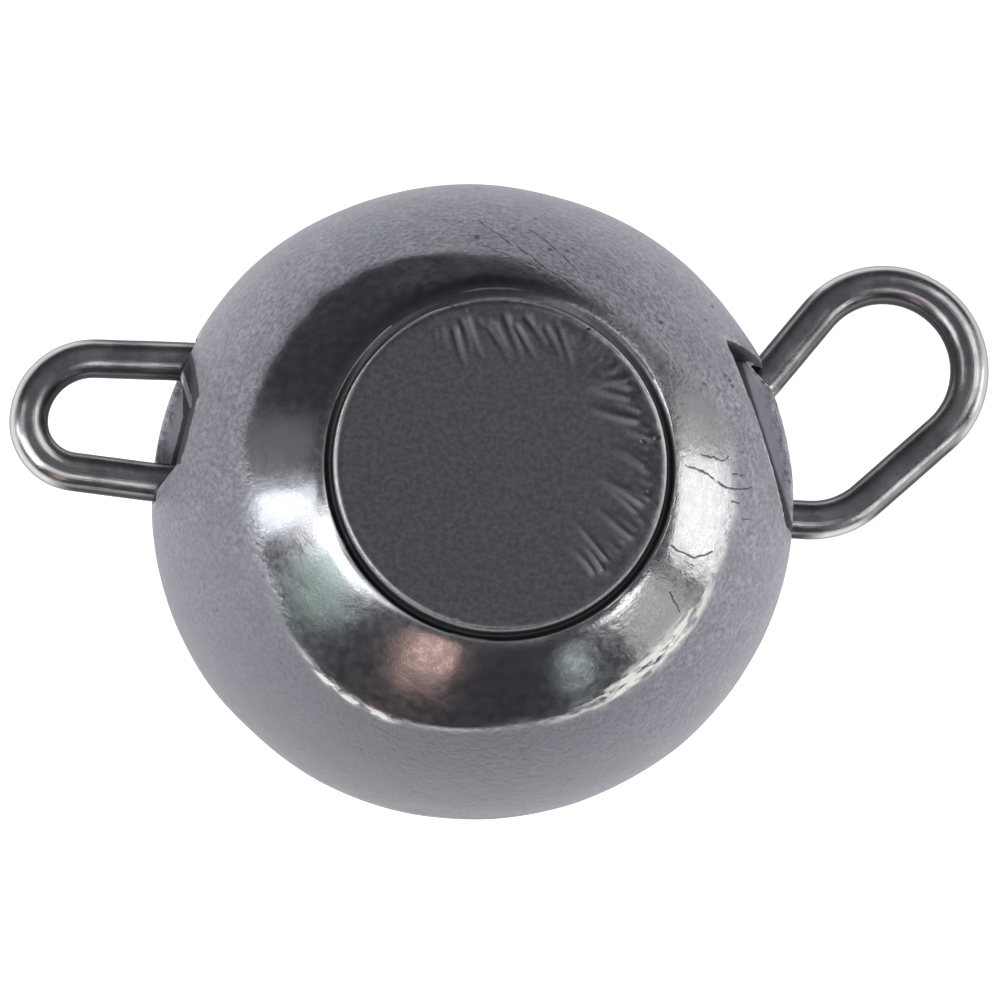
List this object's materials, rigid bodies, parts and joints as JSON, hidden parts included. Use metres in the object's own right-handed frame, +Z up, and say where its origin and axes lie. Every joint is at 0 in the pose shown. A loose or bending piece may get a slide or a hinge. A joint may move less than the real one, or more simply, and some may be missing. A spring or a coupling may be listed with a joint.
{
  "type": "fishing sinker",
  "caption": "Ball sinker cast in lead, with flats above and below and a slot through it for a spring wire clip that makes a line eye and a hook eye.",
  "frame": {"origin": "middle of the lower flat, on which the ball rests", "axes": "+X from the line eye through the ball to the hook eye, along the slot; +Z up, square to the flats; +Y towards the side to which the clip is offset"},
  "size_m": [0.0209, 0.0136, 0.0117],
  "materials": {
    "cast_lead": "bare lead as cast, semi-bright, with fine grain and handling marks",
    "spring_wire": "bright drawn stainless spring wire, lightly scuffed"
  },
  "bodies": {
    "weight": {"lead_weight": "cast_lead"},
    "clip": {"wire_clip": "spring_wire"}
  },
  "joints": [
    {"name": "clip_slide", "type": "slide", "parent": "weight", "child": "clip", "axis": [1, 0, 0], "range_m": [0, 0.0175]}
  ]
}
